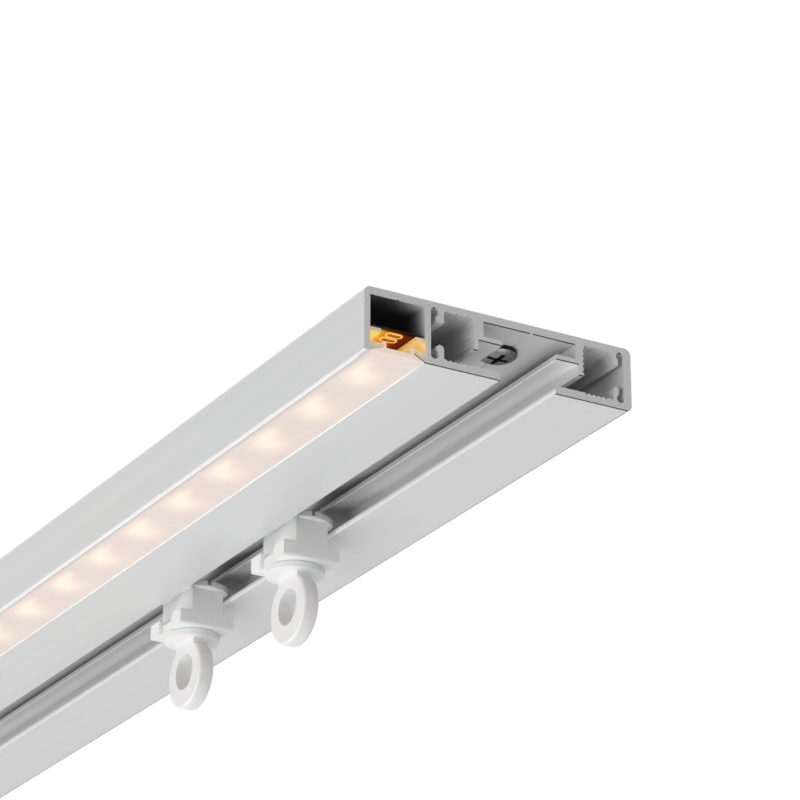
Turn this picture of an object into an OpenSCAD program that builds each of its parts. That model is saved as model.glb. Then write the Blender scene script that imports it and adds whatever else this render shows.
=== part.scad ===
// Curtain track with a light strip: an extruded ceiling profile, a diffuser with
// its LED strip, ceiling screws and two gliders with swivel eyes.
// Millimetres. X runs across the track, Y along it, Z up.
// The origin is the centre of the face that meets the ceiling.

/* [Track profile] */
// Length of the track between its two square-cut ends
track_len = 300; // [200:10:600]
// Width of the profile
track_w = 55; // [52:0.5:64]
// Height of the profile
track_h = 12; // [11.5:0.5:16]
// Thickness of the top plate, which lies on the ceiling
top_wall = 1.5; // [1.2:0.1:2]
// Thickness of the two bottom flanges
floor_wall = 1.5; // [1.2:0.1:2]
// Thickness of the outer wall beside the light bay
left_wall = 1.2; // [1:0.1:1.8]
// Thickness of the outer wall beside the right pocket
right_wall = 1.6; // [1.2:0.1:2.2]
// Thickness of the wall between the light bay and the curtain channel
partition_wall = 1.15; // [1:0.05:1.6]
// Radius of the two upper outer corners
top_corner_r = 1.2; // [0.4:0.1:1.2]
// Radius of the lower right outer corner
bottom_corner_r = 0.9; // [0.4:0.1:1.4]

/* [Light bay] */
// Clear width of the light bay and of the wire chamber above it
bay_w = 11; // [10.6:0.1:13]
// Height of the lower lips that hold the diffuser, at their top
lip_top = 1.7; // [1.5:0.1:2.2]
// Thickness of a lower lip at its tip
lip_tip_t = 0.55; // [0.4:0.05:0.8]
// Reach of the left lower lip from its wall
lip_left = 2.6; // [2:0.1:3]
// Reach of the right lower lip from its wall
lip_right = 2.1; // [1.8:0.1:3]
// Width of the outer wall's foot, where the diffuser's edge begins
wall_foot = 0.7; // [0.5:0.05:1]
// Height of the ledges that carry the LED strip, at their top
ledge_top = 4.44; // [3.8:0.02:5]
// Thickness of a ledge
ledge_t = 0.74; // [0.6:0.02:1]
// Reach of the left ledge from its wall
ledge_left = 2.15; // [1.8:0.05:2.8]
// Reach of the right ledge from its wall
ledge_right = 1.9; // [1.6:0.05:2.6]

/* [Curtain channel] */
// Distance from the left face to the middle of the slot
slot_x = 33.15; // [32:0.05:35]
// Width of the slot between the two flanges
slot_w = 11.5; // [10.5:0.1:12.5]
// Width of the chamfer on the slot's upper edges
slot_chamfer = 0.8; // [0.4:0.1:1]
// Height of the chamfer on the slot's upper edges
slot_chamfer_h = 0.35; // [0.2:0.05:0.6]
// Distance from the slot's middle to the left leg's inner face
left_leg_in = 9.05; // [8:0.05:9.6]
// Thickness of the left leg above its foot
left_leg_t = 2.1; // [1.6:0.1:2.6]
// Distance from the slot's middle to the right leg's inner face
right_leg_in = 10.15; // [9.4:0.05:11]
// Thickness of the right leg above its foot
right_leg_t = 1.7; // [1.5:0.1:2.2]
// Thickness of each leg below its foot
leg_tip_t = 1; // [0.8:0.05:1.2]
// Length of each leg from the ceiling of the channel
leg_drop = 5.75; // [5:0.05:5.8]
// Distance from the slot's middle to the tip of the left foot
left_foot_in = 5.15; // [5:0.05:6]
// Distance from the slot's middle to the tip of the right foot
right_foot_in = 6.05; // [5.5:0.05:6.5]
// Distance from the ceiling of the channel to the underside of the feet
foot_drop = 3.7; // [3.2:0.05:4]
// Thickness of each foot
foot_t = 0.85; // [0.7:0.05:1.2]

/* [End cap grooves and teeth] */
// Thickness of the tongues beside the walls
tongue_t = 1.1; // [0.9:0.05:1.4]
// Width of the grooves between a wall and its tongues
groove_w = 1.1; // [0.9:0.05:1.4]
// Widening of the left tongues' tips, towards the wall
tongue_lip = 0.45; // [0.2:0.05:0.6]
// Length of the upper tongues
upper_tongue = 2.25; // [1.8:0.05:3]
// Length of the lower tongues
lower_tongue = 2.5; // [2:0.1:3]
// Radius of the round seats at the root of each groove
seat_r = 0.75; // [0.6:0.05:0.8]
// Distance from the channel's ceiling down to the middle of the upper seats
upper_seat = 0.3; // [0.2:0.05:0.4]
// Distance from the flanges up to the middle of the lower seats
lower_seat = 0.4; // [0.3:0.05:0.5]
// Pitch of the gripping teeth
tooth_pitch = 1; // [0.8:0.1:1.4]
// Depth of the gripping teeth
tooth_d = 0.3; // [0.2:0.05:0.4]
// Width of the drill guide, a shallow groove in the channel's ceiling
guide_w = 0.6; // [0.4:0.1:1.6]
// Depth of the drill guide
guide_d = 0.2; // [0.1:0.05:0.5]
// Distance from the slot's middle to the drill guide
guide_off = 1.05; // [0:0.05:1.6]
// Width of the notch along the middle of the wire chamber's ceiling
notch_w = 0.5; // [0.4:0.1:1]
// Depth of the notch in the wire chamber's ceiling
notch_d = 0.3; // [0.1:0.05:0.5]

/* [Light strip] */
// Width of the flexible board
board_w = 10; // [8:0.5:10.4]
// Thickness of the flexible board
board_t = 0.25; // [0.2:0.05:0.5]
// Thickness of the adhesive tape on the back of the board
tape_t = 0.2; // [0.1:0.05:0.5]
// Distance from one LED to the next
led_pitch = 17.2; // [12:0.01:25]
// Distance from the near end to the first LED
first_led = 11.3; // [6:0.1:12]
// Length of an LED along the track
led_l = 2.8; // [2:0.1:3.5]
// Width of an LED across the track
led_w = 3.5; // [2:0.1:4]
// Height of an LED
led_h = 0.7; // [0.5:0.1:1]
// Thickness of the diffuser's plate
diffuser_t = 1.05; // [0.9:0.05:1.1]
// Thickness of the diffuser's snap legs
snap_t = 0.6; // [0.5:0.05:0.8]
// Reach of the hook on a snap leg
snap_hook = 0.4; // [0.3:0.05:0.6]

/* [Ceiling screws] */
// Number of ceiling screws
screws = 3; // [2:1:4]
// Distance from each end to its screw
screw_inset = 10; // [8:0.5:20]
// Diameter of the shank above the ceiling face
screw_d = 4; // [3:0.5:4]
// Diameter of the plain neck that passes through the profile
neck_d = 2.9; // [2.4:0.1:2.9]
// Diameter of the head
head_d = 7; // [6:0.5:8]
// Height of the head
head_h = 1.5; // [1.2:0.1:1.8]
// Length of the shank that stands above the ceiling face
screw_out = 3; // [2:0.5:3.5]
// Length of each arm of the cross recess
recess_l = 2.2; // [1.5:0.1:2.5]
// Width of each arm of the cross recess
recess_w = 0.9; // [0.6:0.1:1]
// Depth of the cross recess
recess_d = 0.9; // [0.6:0.1:1]

/* [Gliders] */
// Distance from the near end to the middle of the first glider
glider_1_at = 85.3; // [40:0.1:90]
// Distance from the near end to the middle of the second glider
glider_2_at = 129.6; // [115:0.1:160]
// Sideways place of the second glider within its play in the slot
glider_2_side = 0.3; // [0:0.05:0.6]
// Length of a glider's base along the track
base_l = 13.4; // [12:0.1:15]
// Width of a glider's base across the track
base_w = 12.2; // [11:0.1:14]
// Distance from the flanges' underside down to the crossbars
base_gap = 3.4; // [2:0.1:5]
// Height of the crossbars at both ends of the base
bar_h = 3.2; // [2.6:0.05:4]
// Length of each crossbar along the track
bar_l = 3.9; // [3:0.1:4.2]
// Radius of the rounded lower edges of the crossbars
bar_round = 0.75; // [0.3:0.05:1.2]
// Width of the saddle between the crossbars
saddle_w = 10.6; // [9.6:0.1:12]
// Thickness of the saddle
saddle_h = 2.2; // [1.6:0.1:2.5]
// Width of the neck over the whole length of the base
neck_w = 6.9; // [6:0.1:8]
// Diameter of the disc that slides on the flanges
disc_d = 15; // [14:0.1:17]
// Thickness of the disc
disc_t = 1.8; // [1.4:0.1:2.4]
// Width of the two slits in the disc's rim
slit_w = 0.85; // [0.5:0.05:1.2]
// Length of the two slits from the disc's rim
slit_l = 2.2; // [1.5:0.1:2.6]
// Diameter of the spigot that the disc snaps on
spigot_d = 8; // [7:0.1:8.4]

/* [Swivel eyes] */
// Diameter of the eye's stem
stem_d = 4; // [3:0.1:4.4]
// Diameter of the round collar under the base
collar_d = 11.4; // [9:0.1:12]
// Thickness of the collar
collar_h = 1.35; // [1:0.05:2]
// Outer diameter of the ring
ring_d = 14; // [12:0.1:16]
// Diameter of the ring's hole
ring_hole = 7.4; // [6:0.1:8]
// Height of the hole's middle over the ring's middle
hole_rise = 0.5; // [0:0.1:0.8]
// Thickness of the ring
ring_t = 3.3; // [2.5:0.1:4]
// Depth to which the ring's top enters the collar
ring_sink = 0.15; // [0.1:0.05:0.8]
// Diameter of the split head at the stem's top
snap_head_d = 5.6; // [4.8:0.1:6]
// Height of the split head
snap_head_h = 1.4; // [1:0.1:1.6]
// Width of the split in the stem
split_w = 0.6; // [0.4:0.1:0.8]

/* [Fits] */
// Clearance between the diffuser and the profile
diffuser_gap = 0.08; // [0.04:0.01:0.15]
// Clearance at each end of the strip and the diffuser
end_gap = 0.1; // [0.05:0.05:0.5]
// Clearance under the disc and above the collar
slide_gap = 0.05; // [0.03:0.01:0.15]
// Radial clearance of the stem in the glider
stem_gap = 0.05; // [0.02:0.01:0.1]
// Radial clearance of the disc on its spigot
disc_gap = 0.05; // [0.02:0.01:0.1]
// Radial clearance of the screws in their holes
screw_gap = 0.2; // [0.1:0.05:0.5]

/* [Hidden] */

// Fineness of round faces and of small ones, and a hair of overlap for cuts
$fn = 64;
small_fn = 32;
eps = 0.01;

// Places across the section, from the left face, and heights from the bottom
bay_left = left_wall;
bay_right = left_wall + bay_w;
bay_mid = (bay_left + bay_right) / 2;
channel_left = bay_right + partition_wall;
channel_right = track_w - right_wall;
ceiling = track_h - top_wall;
slot_left = slot_x - slot_w / 2;
slot_right = slot_x + slot_w / 2;
left_leg = slot_x - left_leg_in;
right_leg = slot_x + right_leg_in;
leg_tip = ceiling - leg_drop;
foot_under = ceiling - foot_drop;
pocket_teeth_gap = 0.3;
left_pocket = channel_left + groove_w + tongue_lip + tongue_t + pocket_teeth_gap;
right_pocket = channel_right - groove_w - tongue_t - pocket_teeth_gap;

// The strip lies on the ledges with its LEDs facing down
strip_len = track_len - 2 * end_gap;
board_under = ledge_top;
led_count = floor((strip_len - first_led - led_l) / led_pitch) + 1;
leds_per_group = 3;
group_len = led_pitch * leds_per_group;
group_count = ceil(strip_len / group_len);
led_frame = 0.4;
phosphor_l = led_l - 2 * led_frame;
phosphor_w = led_w - 2 * led_frame;
phosphor_out = 0.05;
resistor_l = 3.2;
resistor_w = 1.6;
resistor_h = 0.5;
pad_w = 3.3;
pad_l = 1.7;
pad_t = 0.08;
pad_places = [1.3, 3.3];

// The ceiling screws stand in a row over the slot
screw_step = (track_len - 2 * screw_inset) / (screws - 1);
crown_h = 0.7;
shoulder_in = 0.5;
shoulder_drop = 0.3;
flat_in = 1.6;
flat_drop = 0.07;
thread_rise = 0.2;

// Heights of the glider's parts, from the profile's bottom
disc_under = floor_wall + slide_gap;
bar_top = -base_gap;
base_under = bar_top - bar_h;
saddle_top = base_under + saddle_h;
spigot_lip_r = 0.25;
spigot_lip_h = 0.4;
spigot_top = disc_under + disc_t + spigot_lip_h + eps;
collar_top = base_under - slide_gap;
collar_under = collar_top - collar_h;
ring_mid = collar_under + ring_sink - ring_d / 2;
edge_chamfer = 0.35;
web_in = 3.15;
web_cover = 1;
web_l = ring_d - 2 * web_in;
web_h = (ring_d - ring_hole) / 2 - hole_rise - ring_sink - web_cover;

// Puts section places (across, along, up) into the part's own frame
module in_track() {
    translate([-track_w / 2, -track_len / 2, -track_h]) children();
}

// Draws a section along the track, from one distance to another
module along(from, to) {
    translate([0, to, 0]) rotate([90, 0, 0]) linear_extrude(to - from) children();
}

// The waste outside a rounded corner, for the corner at upper right
module corner_waste(r) {
    translate([-r, -r]) difference() {
        square(r + eps);
        circle(r);
    }
}

// A row of pointed teeth, cut upwards from a surface at height 0
module teeth(from, to) {
    count = floor((to - from) / tooth_pitch);
    for (i = [0 : count - 1])
        translate([from + i * tooth_pitch, 0])
            polygon([[0, -eps], [tooth_pitch / 2, tooth_d], [tooth_pitch, -eps]]);
}

// The same teeth along a wall, cut to the right of a face at 0
module wall_teeth(from, to) {
    count = floor((to - from) / tooth_pitch);
    for (i = [0 : count - 1])
        translate([0, from + i * tooth_pitch])
            polygon([[-eps, 0], [tooth_d, tooth_pitch / 2], [-eps, tooth_pitch]]);
}

// The light bay: wire chamber, ledges for the strip, lips for the diffuser
module bay_hollow() {
    lip_l = bay_left + lip_left;
    lip_r = bay_right - lip_right;
    lip_under = lip_top - lip_tip_t;
    ledge_under = ledge_top - ledge_t;
    polygon([
        [wall_foot, -eps], [wall_foot, 0], [lip_l, lip_under], [lip_l, lip_top],
        [bay_left, lip_top], [bay_left, ledge_under],
        [bay_left + ledge_left, ledge_under], [bay_left + ledge_left, ledge_top],
        [bay_left, ledge_top], [bay_left, ceiling],
        [bay_right, ceiling], [bay_right, ledge_top],
        [bay_right - ledge_right, ledge_top], [bay_right - ledge_right, ledge_under],
        [bay_right, ledge_under], [bay_right, lip_top],
        [lip_r, lip_top], [lip_r, lip_under], [bay_right, 0], [bay_right, -eps]
    ]);
}

// The slot for the gliders, with chamfered upper edges
module slot_hollow() {
    polygon([
        [slot_left, -eps], [slot_left, floor_wall - slot_chamfer_h],
        [slot_left - slot_chamfer, floor_wall + eps],
        [slot_right + slot_chamfer, floor_wall + eps],
        [slot_right, floor_wall - slot_chamfer_h], [slot_right, -eps]
    ]);
}

// A pair of tongues on the right of a wall whose face is at 0, their tips wider by a lip
module tongues(lip) {
    tip_w = tongue_t + lip;
    tip_r = tip_w / 2;
    translate([groove_w + lip, ceiling - upper_tongue])
        square([tongue_t, upper_tongue + eps]);
    translate([groove_w, ceiling - upper_tongue])
        square([tip_w, tongue_t]);
    translate([groove_w + lip, floor_wall - eps])
        square([tongue_t, lower_tongue - tip_r + eps]);
    translate([groove_w + tip_r, floor_wall + lower_tongue - tip_r])
        circle(tip_r);
}

// The round seats at the roots of one pair of grooves
module seats() {
    translate([seat_r, ceiling - upper_seat]) circle(seat_r);
    translate([seat_r, floor_wall + lower_seat]) circle(seat_r);
}

// Both legs, which hang from the ceiling, with their inward feet
module legs() {
    translate([left_leg - left_leg_t, foot_under])
        square([left_leg_t, foot_drop + eps]);
    translate([left_leg - left_leg_t, leg_tip])
        square([leg_tip_t, leg_drop]);
    translate([left_leg - left_leg_t, foot_under])
        square([slot_x - left_foot_in - left_leg + left_leg_t, foot_t]);
    translate([right_leg, foot_under])
        square([right_leg_t, foot_drop + eps]);
    translate([right_leg + right_leg_t - leg_tip_t, leg_tip])
        square([leg_tip_t, leg_drop]);
    translate([slot_x + right_foot_in, foot_under])
        square([right_leg + right_leg_t - slot_x - right_foot_in, foot_t]);
}

// A pointed groove, cut upwards from a surface at height 0
module groove(w, d) {
    polygon([[-w / 2, -eps], [0, d], [w / 2, -eps]]);
}

module profile_section() {
    channel_w = channel_right - channel_left;
    left_face = left_leg - left_leg_t;
    right_face = right_leg + right_leg_t;
    difference() {
        union() {
            difference() {
                square([track_w, track_h]);
                bay_hollow();
                slot_hollow();
                translate([channel_left, floor_wall])
                    square([channel_w, ceiling - floor_wall]);
            }
            legs();
            translate([channel_left, 0]) tongues(tongue_lip);
            translate([channel_right, 0]) mirror([1, 0]) tongues(0);
        }
        translate([track_w, track_h]) corner_waste(top_corner_r);
        translate([0, track_h]) mirror([1, 0]) corner_waste(top_corner_r);
        translate([track_w, 0]) mirror([0, 1]) corner_waste(bottom_corner_r);
        translate([channel_left, 0]) seats();
        translate([channel_right, 0]) mirror([1, 0]) seats();
        translate([slot_x + guide_off, ceiling]) groove(guide_w, guide_d);
        translate([bay_mid, ceiling]) groove(notch_w, notch_d);
        translate([0, ceiling]) teeth(left_pocket, left_face);
        translate([0, ceiling]) teeth(right_face, right_pocket);
        translate([0, floor_wall]) mirror([0, 1]) teeth(left_pocket, left_face);
        translate([0, floor_wall]) mirror([0, 1]) teeth(right_face, right_pocket);
        translate([left_face, 0]) wall_teeth(leg_tip + tooth_d, ceiling);
        translate([right_face, 0]) mirror([1, 0]) wall_teeth(leg_tip + tooth_d, ceiling);
    }
}

// Puts something at each ceiling screw
module at_screws() {
    for (i = [0 : screws - 1])
        translate([slot_x, screw_inset + i * screw_step, ceiling]) children();
}

module track_profile() {
    color("gainsboro") in_track() difference() {
        along(0, track_len) profile_section();
        at_screws() translate([0, 0, -eps])
            cylinder(h = top_wall + 2 * eps, d = screw_d + 2 * screw_gap);
    }
}

// The diffuser's section: a plate with wedge edges and two hooked legs
module diffuser_section() {
    g = diffuser_gap;
    lip_l = bay_left + lip_left;
    lip_r = bay_right - lip_right;
    lip_under = lip_top - lip_tip_t;
    top = min(diffuser_t, lip_under - g);
    hook_under = lip_top + g;
    hook_top = hook_under + snap_hook;
    polygon([
        [wall_foot + 2 * g, 0], [lip_l + g, top],
        [lip_l + g, hook_under], [lip_l + g - snap_hook, hook_under],
        [lip_l + g, hook_top], [lip_l + g + snap_t, hook_top],
        [lip_l + g + snap_t, top],
        [lip_r - g - snap_t, top], [lip_r - g - snap_t, hook_top],
        [lip_r - g, hook_top], [lip_r - g + snap_hook, hook_under],
        [lip_r - g, hook_under], [lip_r - g, top],
        [bay_right - 2 * g, 0]
    ]);
}

module led_diffuser() {
    color("ivory") in_track() along(end_gap, track_len - end_gap) diffuser_section();
}

module led_board() {
    color("darkorange") in_track()
        translate([bay_mid - board_w / 2, end_gap, board_under])
            cube([board_w, strip_len, board_t]);
}

module led_backing_tape() {
    color("whitesmoke") in_track()
        translate([bay_mid - board_w / 2, end_gap, board_under + board_t])
            cube([board_w, strip_len, tape_t]);
}

// Puts something under the board at each LED
module at_leds() {
    for (i = [0 : led_count - 1])
        translate([bay_mid, first_led + i * led_pitch, board_under]) children();
}

module led_packages() {
    color("white") in_track() at_leds() difference() {
        translate([-led_w / 2, -led_l / 2, -led_h]) cube([led_w, led_l, led_h]);
        translate([-phosphor_w / 2, -phosphor_l / 2, -led_h - eps])
            cube([phosphor_w, phosphor_l, led_h / 2 + eps]);
    }
}

module led_phosphor() {
    color("gold") in_track() at_leds()
        translate([-phosphor_w / 2, -phosphor_l / 2, phosphor_out - led_h])
            cube([phosphor_w, phosphor_l, led_h / 2 - phosphor_out]);
}

// One series resistor for each group of LEDs, midway between two of them
module led_resistors() {
    color("dimgray") in_track()
        for (i = [0 : led_count - 2])
            if (i % leds_per_group == 0)
                translate([bay_mid - resistor_w / 2,
                        first_led + (i + 0.5) * led_pitch - resistor_l / 2,
                        board_under - resistor_h])
                    cube([resistor_w, resistor_l, resistor_h]);
}

// An oval pad of copper
module pad() {
    linear_extrude(pad_t) {
        square([pad_w - pad_l, pad_l], center = true);
        for (s = [-1, 1])
            translate([s * (pad_w - pad_l) / 2, 0]) circle(d = pad_l, $fn = small_fn);
    }
}

// Two pads at the near end and at each cut line of the strip
module led_solder_pads() {
    color("peru") in_track()
        for (g = [0 : group_count - 1])
            for (p = pad_places)
                translate([bay_mid, end_gap + g * group_len + p, board_under - pad_t])
                    pad();
}

// A pan head with a low crown and a cross recess, its seat at height 0
module screw() {
    r = head_d / 2;
    difference() {
        union() {
            rotate_extrude() polygon([
                [0, 0], [r, 0], [r, crown_h - head_h],
                [r - shoulder_in, shoulder_drop - head_h],
                [r - flat_in, flat_drop - head_h], [0, -head_h]
            ]);
            cylinder(h = top_wall + thread_rise + eps, d = neck_d);
            translate([0, 0, top_wall + thread_rise])
                cylinder(h = screw_out - thread_rise - edge_chamfer, d = screw_d);
            translate([0, 0, top_wall + screw_out - edge_chamfer])
                cylinder(h = edge_chamfer, d1 = screw_d, d2 = screw_d - 2 * edge_chamfer);
        }
        for (a = [0, 90])
            rotate([0, 0, a])
                translate([-recess_l, -recess_w / 2, -head_h - eps])
                    cube([2 * recess_l, recess_w, recess_d + eps]);
    }
}

module ceiling_screws() {
    color("silver") in_track() at_screws() screw();
}

// A block centred across and along, between two heights
module block(w, l, low, high) {
    translate([-w / 2, -l / 2, low]) cube([w, l, high - low]);
}

// A crossbar of the base: square above, with rounded lower edges
module crossbar() {
    r = bar_round;
    translate([-base_w / 2, 0, 0]) rotate([90, 0, 90]) linear_extrude(base_w) {
        translate([-bar_l / 2, base_under + r]) square([bar_l, bar_h - r]);
        translate([r - bar_l / 2, base_under]) square([bar_l - 2 * r, bar_h]);
        for (s = [-1, 1])
            translate([s * (bar_l / 2 - r), base_under + r]) circle(r, $fn = small_fn);
    }
}

// The glider's body: saddle, crossbars, neck, and a spigot for the disc
module glider_body() {
    bar_mid = (base_l - bar_l) / 2;
    difference() {
        union() {
            block(saddle_w, base_l - bar_l, base_under, saddle_top);
            for (s = [-1, 1]) translate([0, s * bar_mid, 0]) crossbar();
            block(neck_w, base_l, saddle_top - eps, disc_under);
            translate([0, 0, disc_under - eps])
                cylinder(h = spigot_top - disc_under + eps, d = spigot_d);
            translate([0, 0, spigot_top - spigot_lip_h]) cylinder(
                h = spigot_lip_h, d1 = spigot_d + 2 * spigot_lip_r,
                d2 = spigot_d - 2 * spigot_lip_r);
        }
        translate([0, 0, base_under - eps])
            cylinder(h = spigot_top - base_under + 2 * eps, d = stem_d + 2 * stem_gap);
    }
}

// The disc that slides on the flanges, slit at its near and far rim
module glider_disc() {
    r = disc_d / 2;
    difference() {
        translate([0, 0, disc_under]) rotate_extrude() polygon([
            [0, 0], [r - edge_chamfer, 0], [r, edge_chamfer],
            [r, disc_t - edge_chamfer], [r - edge_chamfer, disc_t], [0, disc_t]
        ]);
        translate([0, 0, disc_under - eps])
            cylinder(h = disc_t + 2 * eps, d = spigot_d + 2 * disc_gap);
        for (s = [-1, 1])
            translate([-slit_w / 2, s * (r - slit_l / 2) - slit_l / 2 - eps, disc_under - eps])
                cube([slit_w, slit_l + 2 * eps, disc_t + 2 * eps]);
    }
}

// The swivel eye: ring, collar and a split stem whose head holds it in the glider
module swivel_eye() {
    ring_out = ring_d / 2;
    head_under = spigot_top + slide_gap;
    difference() {
        union() {
            translate([0, 0, collar_under]) cylinder(h = collar_h, d = collar_d);
            translate([0, 0, ring_mid]) rotate([0, 90, 0]) rotate_extrude()
                translate([0, -ring_t / 2]) polygon([
                    [0, 0], [ring_out - edge_chamfer, 0], [ring_out, edge_chamfer],
                    [ring_out, ring_t - edge_chamfer], [ring_out - edge_chamfer, ring_t],
                    [0, ring_t]
                ]);
            block(ring_t, web_l, collar_under - web_h, collar_under + eps);
            translate([0, 0, collar_top - eps])
                cylinder(h = head_under - collar_top + 2 * eps, d = stem_d);
            translate([0, 0, head_under])
                cylinder(h = snap_head_h, d1 = snap_head_d, d2 = stem_d - 2 * edge_chamfer);
        }
        block(split_w, snap_head_d + 2 * eps, disc_under, head_under + snap_head_h + eps);
        translate([0, 0, ring_mid + hole_rise]) rotate([0, 90, 0])
            cylinder(h = ring_t + 2 * eps, d = ring_hole, center = true);
    }
}

// Puts a glider's piece over the slot, at its distance from the near end
module at_glider(place, side) {
    in_track() translate([slot_x + side, place, 0]) children();
}

// Puts a piece of the first glider, or of the second, in its place
module at_glider_1() { at_glider(glider_1_at, 0) children(); }
module at_glider_2() { at_glider(glider_2_at, glider_2_side) children(); }

module glider_1_body() { color("whitesmoke") at_glider_1() glider_body(); }
module glider_1_disc() { color("lightgray") at_glider_1() glider_disc(); }
module glider_1_eye() { color("white") at_glider_1() swivel_eye(); }
module glider_2_body() { color("whitesmoke") at_glider_2() glider_body(); }
module glider_2_disc() { color("lightgray") at_glider_2() glider_disc(); }
module glider_2_eye() { color("white") at_glider_2() swivel_eye(); }

track_profile();
led_diffuser();
led_board();
led_backing_tape();
led_packages();
led_phosphor();
led_resistors();
led_solder_pads();
ceiling_screws();
glider_1_body();
glider_1_disc();
glider_1_eye();
glider_2_body();
glider_2_disc();
glider_2_eye();
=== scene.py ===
"""The curtain track's finishes and fine shapes, with its light, floor and camera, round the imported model.

Metres throughout. X runs across the track, Y along it, Z up into the ceiling.
"""

import math

import bmesh
import bpy
from mathutils import Matrix, Vector


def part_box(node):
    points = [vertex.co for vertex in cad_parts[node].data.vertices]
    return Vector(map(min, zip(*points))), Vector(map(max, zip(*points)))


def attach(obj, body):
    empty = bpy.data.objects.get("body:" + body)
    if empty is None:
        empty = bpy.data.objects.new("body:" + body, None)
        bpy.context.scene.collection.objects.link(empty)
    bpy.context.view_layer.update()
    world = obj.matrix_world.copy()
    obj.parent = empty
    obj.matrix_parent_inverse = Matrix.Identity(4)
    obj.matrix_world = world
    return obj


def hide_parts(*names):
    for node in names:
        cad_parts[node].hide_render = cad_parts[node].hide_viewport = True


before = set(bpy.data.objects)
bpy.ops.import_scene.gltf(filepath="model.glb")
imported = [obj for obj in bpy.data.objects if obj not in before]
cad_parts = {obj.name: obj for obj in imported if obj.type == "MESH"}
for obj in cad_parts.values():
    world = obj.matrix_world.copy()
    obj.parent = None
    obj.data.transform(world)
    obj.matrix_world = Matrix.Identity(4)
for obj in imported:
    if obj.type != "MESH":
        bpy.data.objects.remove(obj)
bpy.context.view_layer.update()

MM = 0.001

# Places that the finishes need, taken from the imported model
TRACK_LOW, TRACK_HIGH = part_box("track_profile")
NEAR_END = TRACK_LOW.y
FAR_END = TRACK_HIGH.y
LEFT_FACE = TRACK_LOW.x
UNDERSIDE = TRACK_LOW.z
COVER_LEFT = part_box("led_diffuser")[0].x
STRIP_LOW, STRIP_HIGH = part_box("led_board")
BAY_MID = (STRIP_LOW.x + STRIP_HIGH.x) / 2
STRIP_UNDER = STRIP_LOW.z
TRACK_LENGTH = FAR_END - NEAR_END
PADS_LOW, PADS_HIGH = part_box("led_solder_pads")
SCREWS_LOW, SCREWS_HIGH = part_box("ceiling_screws")

# Places in the profile's section: millimetres from its left face, and above its underside
WALL_FOOT = 0.7
BAY_LEFT = 1.2
BAY_RIGHT = 12.2
LEFT_POCKET = (13.3, 22.4)
GUIDE = (33.8, 34.6)
SLOT_RIGHT = 38.9
RIGHT_FOOT = (39.2, 45.0)
TIP_END = 39.7
RIGHT_LEG = 43.4
RIGHT_POCKET = (44.9, 54.2)
LOWER_CORNER = (54.1, 0.9)
TEETH_DEPTH = 0.4
FLANGE_TOP = 1.5
LIP_TOP = 1.7
LEDGE_TOP = 4.44
FOOT_UNDER = 6.8
CHANNEL_TOP = 10.5

# Places in the section that are nearer than this count as the same, in millimetres
SECTION_HAIR = 0.06

# How squarely a face looks along an axis, or how far down, to count as looking that way
SQUARE_ON = 0.9
CORNER_TURN = 0.7
LOOKS_DOWN = 0.3

# The row of lights
LED_PITCH = 17.2 * MM
FIRST_LED = 11.3 * MM
LED_WIDTH = 3.5 * MM
LED_COUNT = 17
LEDS_PER_GROUP = 3
RESISTOR_LENGTH = 3.2 * MM
RESISTOR_WIDTH = 1.6 * MM
RESISTOR_HEIGHT = 0.5 * MM
LEAD_SIZE = (0.5 * MM, 1.4 * MM, 0.16 * MM)
CAP_LENGTH = 0.5 * MM
CAP_PROUD = 0.03 * MM

# The cover's left edge, where no light comes through
SEAM_WIDTH = 0.3 * MM
SEAM_FADE = 0.8 * MM

# The pairs of solder pads, one pair at the near end and at each cut line
PAD_ROUND = 1.7 * MM
PAD_GAP = 2.0 * MM
PAD_BODY = 0.08 * MM
PAD_RIM = 0.1 * MM
PAD_RIM_SHARE = 0.2
PAD_GROUPS = 6
PAD_SEGMENTS = 24

# The ceiling screws
SCREW_COUNT = 3
HEAD_RADIUS = 3.5 * MM
HEAD_HEIGHT = 1.5 * MM
SHANK_FOOT = 0.2 * MM
SHANK_RADIUS = 2.0 * MM
THREAD_DEPTH = 0.35 * MM
THREAD_PITCH = 0.7 * MM
THREAD_CREST = (0.4, 0.55)
FOOT_TAPER = 0.8
TIP_TAPER = 0.75
SPIN_STEPS = 40

# Parts of a screw's head, as shares of its radius or height
FLANK_FROM = 0.9
CROSS_TO = 0.7
FACE_TO = 0.15

# The strip's light on the end face beside the bay: middle and half widths, in millimetres
LEFT_LIGHT = ((2.9, 2.5), (1.4, 1.4))
RIGHT_LIGHT = ((11.1, 2.7), (1.2, 1.7))

# One LED's light in the cover: middle, half widths, both in millimetres, and strength
CORE = ((-0.5, 0.4), (3.0, 3.2), 0.62)
STREAK = ((-3.0, -4.4), (1.2, 3.0), 0.62)
TRAIL = ((-2.2, -1.6), (1.7, 2.6), 0.4)
HAZE = ((-0.5, -1.0), (5.5, 6.5), 0.25)

# Where yellow light beside the lamps ends across the strip, and where its amber has dimmed
LAMP_SIDE = (2.1 * MM, 4.1 * MM)
DIM_SIDE = 2.4 * MM

# Heights above the underside over which the painted highlight on the edges dims, and the cover's end turns
# orange
EDGE_DIMS = (0.1 * MM, 1.1 * MM)
COVER_TURNS = (0.4 * MM, 1.5 * MM)

# How far in from the nearer end each painted fade of light or shade reaches
CHAMBER_MOUTH = 7.0 * MM
CHANNEL_MOUTH = 26.0 * MM
POCKET_MOUTH = 9.0 * MM
LIP_MOUTH = (2.0 * MM, 5.0 * MM)
STRIP_MOUTH = (0.15 * MM, 1.3 * MM)
COVER_MOUTH = 0.3 * MM

# How much of the painted light at the wire chamber's mouths reaches its left half, and the notch there
LEFT_MOUTH_LIGHT = 0.1
NOTCH_MOUTH_LIGHT = 0.22

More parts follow.
